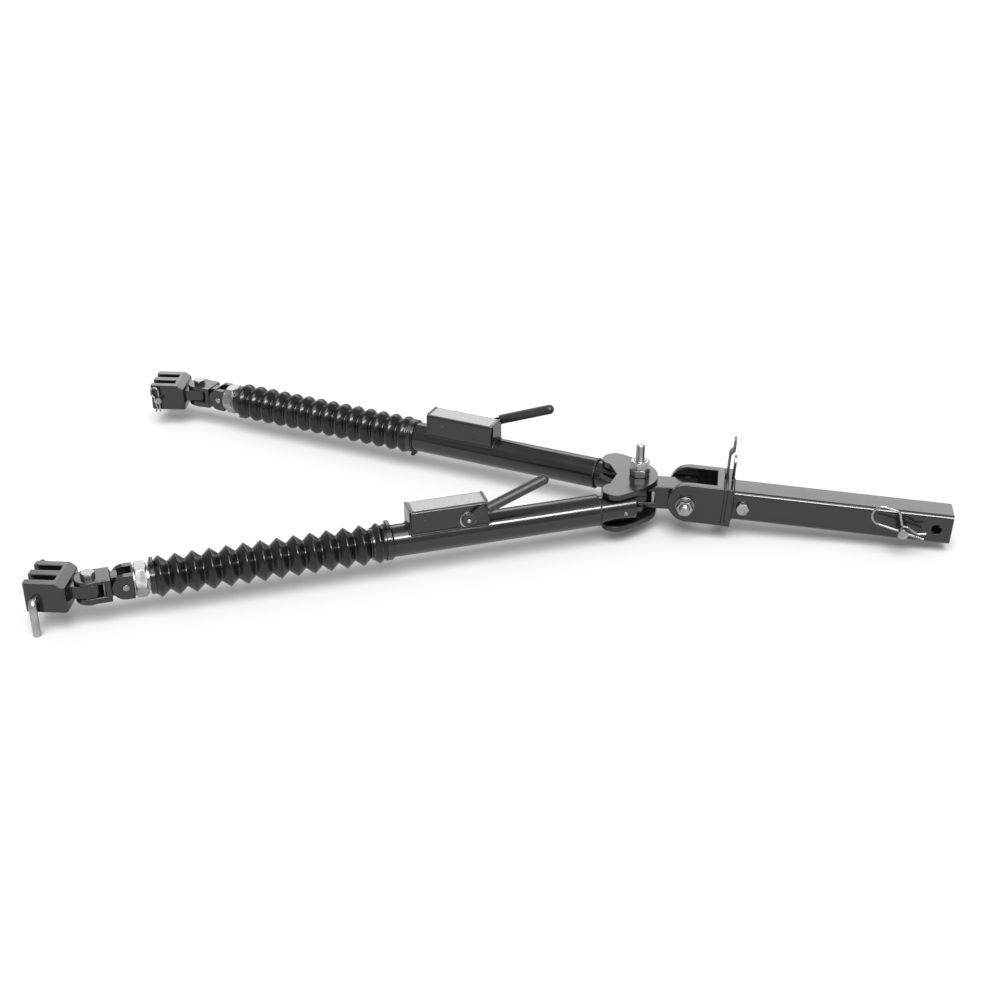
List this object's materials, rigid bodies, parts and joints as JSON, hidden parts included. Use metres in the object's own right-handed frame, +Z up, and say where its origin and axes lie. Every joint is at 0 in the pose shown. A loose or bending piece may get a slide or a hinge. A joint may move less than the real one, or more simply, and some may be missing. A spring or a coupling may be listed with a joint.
{
  "type": "self-aligning tow bar",
  "caption": "Self-aligning A-frame tow bar: square receiver shank, swivelling yoke and head, telescoping legs with bellows boots, and slotted pin-on lugs.",
  "frame": {"origin": "centre of the free receiver pin bore, on the shank's axis", "axes": "+X along the bisector of the two legs towards the receiver, +Y to the left leg, +Z up"},
  "size_m": [1.3976, 0.7942, 0.1636],
  "materials": {
    "black_paint": "semi-gloss black powder coat",
    "zinc": "bright zinc plate",
    "rubber": "satin black rubber bellows",
    "bronze": "sintered bronze bush",
    "spring_steel": "plain spring wire"
  },
  "bodies": {
    "shank": {"shank_tube": "black_paint", "shank_front_plate": "black_paint", "swivel_bushing": "bronze", "retaining_bolt": "zinc"},
    "hitch_pin": {"hitch_pin": "zinc", "hitch_pin_clip": "zinc"},
    "yoke": {"yoke": "black_paint", "swivel_plate": "black_paint", "swivel_shaft": "zinc", "yoke_bolt": "zinc", "yoke_nut": "zinc", "yoke_washers": "zinc", "yoke_spacers": "zinc"},
    "swivel_latch": {"swivel_latch": "zinc"},
    "tongue": {"tongue": "black_paint", "tongue_bushing": "bronze"},
    "head": {"head_top_plate": "black_paint", "head_bottom_plate": "black_paint", "king_bolt": "zinc", "king_nuts": "zinc", "king_spacer": "zinc"},
    "left_arm": {"left_outer_tube": "black_paint", "left_knuckle": "black_paint", "left_latch_box": "black_paint", "left_boot": "rubber", "left_boot_clamp": "black_paint", "left_latch_spring": "spring_steel"},
    "left_lever": {"left_lever": "black_paint", "left_lever_screw": "zinc"},
    "left_plunger": {"left_latch_plunger": "zinc"},
    "left_leg": {"left_inner_leg": "zinc", "left_collar_nut": "zinc", "left_rod_end": "black_paint", "left_cross_pin": "zinc"},
    "left_clevis": {"left_clevis": "black_paint", "left_clevis_bolt": "zinc", "left_clevis_nut": "zinc"},
    "left_lug": {"left_lug": "black_paint"},
    "left_lug_pin": {"left_lug_pin": "zinc", "left_lug_clip": "zinc"},
    "right_arm": {"right_outer_tube": "black_paint", "right_knuckle": "black_paint", "right_latch_box": "black_paint", "right_boot": "rubber", "right_boot_clamp": "black_paint", "right_latch_spring": "spring_steel"},
    "right_lever": {"right_lever": "black_paint", "right_lever_screw": "zinc"},
    "right_plunger": {"right_latch_plunger": "zinc"},
    "right_leg": {"right_inner_leg": "zinc", "right_collar_nut": "zinc", "right_rod_end": "black_paint", "right_cross_pin": "zinc"},
    "right_clevis": {"right_clevis": "black_paint", "right_clevis_bolt": "zinc", "right_clevis_nut": "zinc"},
    "right_lug": {"right_lug": "black_paint"},
    "right_lug_pin": {"right_lug_pin": "zinc", "right_lug_clip": "zinc"}
  },
  "joints": [
    {"name": "hitch_pin_turn", "type": "hinge", "parent": "shank", "child": "hitch_pin", "pos_m": [-0.05464, 0.00468, 0.00265], "axis": [0.0854, 0.9963, 0], "range_deg": [-25, 25]},
    {"name": "swivel_roll", "type": "hinge", "parent": "shank", "child": "yoke", "pos_m": [-0.33727, 0.02891, 0.01638], "axis": [0.9952, -0.0853, -0.0483], "range_deg": [-90, 90]},
    {"name": "swivel_latch_slide", "type": "slide", "parent": "yoke", "child": "swivel_latch", "axis": [0.0482, -0.0041, 0.9988], "range_m": [-0.01, 0]},
    {"name": "tongue_pitch", "type": "hinge", "parent": "yoke", "child": "tongue", "pos_m": [-0.39698, 0.03403, 0.01928], "axis": [0.0854, 0.9963, 0], "range_deg": [-30, 60]},
    {"name": "head_yaw", "type": "hinge", "parent": "tongue", "child": "head", "pos_m": [-0.4736, 0.0406, 0.01533], "axis": [0, 0, 1], "range_deg": [-25, 25]},
    {"name": "left_arm_yaw", "type": "hinge", "parent": "head", "child": "left_arm", "pos_m": [-0.4736, 0.0406, 0.01533], "axis": [0, 0, -1], "range_deg": [-17, 20]},
    {"name": "left_lever_turn", "type": "hinge", "parent": "left_arm", "child": "left_lever", "pos_m": [-0.7474, 0.18187, 0.04533], "axis": [-0.3518, -0.9361, 0], "range_deg": [0, 20]},
    {"name": "left_plunger_slide", "type": "slide", "parent": "left_arm", "child": "left_plunger", "axis": [0, 0, -1], "range_m": [0, 0.0081], "deforming": ["left_latch_spring"]},
    {"name": "left_leg_slide", "type": "slide", "parent": "left_arm", "child": "left_leg", "axis": [-0.9361, 0.3518, 0], "range_m": [-0.2, 0], "deforming": ["left_boot"]},
    {"name": "left_clevis_pitch", "type": "hinge", "parent": "left_leg", "child": "left_clevis", "pos_m": [-1.23602, 0.36553, 0.01533], "axis": [-0.3518, -0.9361, 0], "range_deg": [-25, 25]},
    {"name": "left_lug_yaw", "type": "hinge", "parent": "left_clevis", "child": "left_lug", "pos_m": [-1.28442, 0.38372, 0.01533], "axis": [0, 0, 1], "range_deg": [-25, 25]},
    {"name": "left_lug_pin_turn", "type": "hinge", "parent": "left_lug", "child": "left_lug_pin", "pos_m": [-1.35442, 0.38372, 0.01283], "axis": [0, -1, 0], "range_deg": [-40, 40]},
    {"name": "right_arm_yaw", "type": "hinge", "parent": "head", "child": "right_arm", "pos_m": [-0.4736, 0.0406, 0.01533], "axis": [0, 0, 1], "range_deg": [-17, 20]},
    {"name": "right_lever_turn", "type": "hinge", "parent": "right_arm", "child": "right_lever", "pos_m": [-0.7474, -0.10067, 0.04533], "axis": [0.3518, -0.9361, 0], "range_deg": [0, 20]},
    {"name": "right_plunger_slide", "type": "slide", "parent": "right_arm", "child": "right_plunger", "axis": [0, 0, -1], "range_m": [0, 0.0081], "deforming": ["right_latch_spring"]},
    {"name": "right_leg_slide", "type": "slide", "parent": "right_arm", "child": "right_leg", "axis": [-0.9361, -0.3518, 0], "range_m": [-0.2, 0], "deforming": ["right_boot"]},
    {"name": "right_clevis_pitch", "type": "hinge", "parent": "right_leg", "child": "right_clevis", "pos_m": [-1.23602, -0.28433, 0.01533], "axis": [0.3518, -0.9361, 0], "range_deg": [-25, 25]},
    {"name": "right_lug_yaw", "type": "hinge", "parent": "right_clevis", "child": "right_lug", "pos_m": [-1.28442, -0.30252, 0.01533], "axis": [0, 0, -1], "range_deg": [-25, 25]},
    {"name": "right_lug_pin_turn", "type": "hinge", "parent": "right_lug", "child": "right_lug_pin", "pos_m": [-1.35442, -0.30252, 0.01283], "axis": [0, -1, 0], "range_deg": [-40, 40]}
  ],
  "couplings": [
    {"joint": "left_plunger_slide", "follows": "left_lever_turn", "m_per_rad": 0.0229},
    {"joint": "right_plunger_slide", "follows": "right_lever_turn", "m_per_rad": 0.0229}
  ]
}
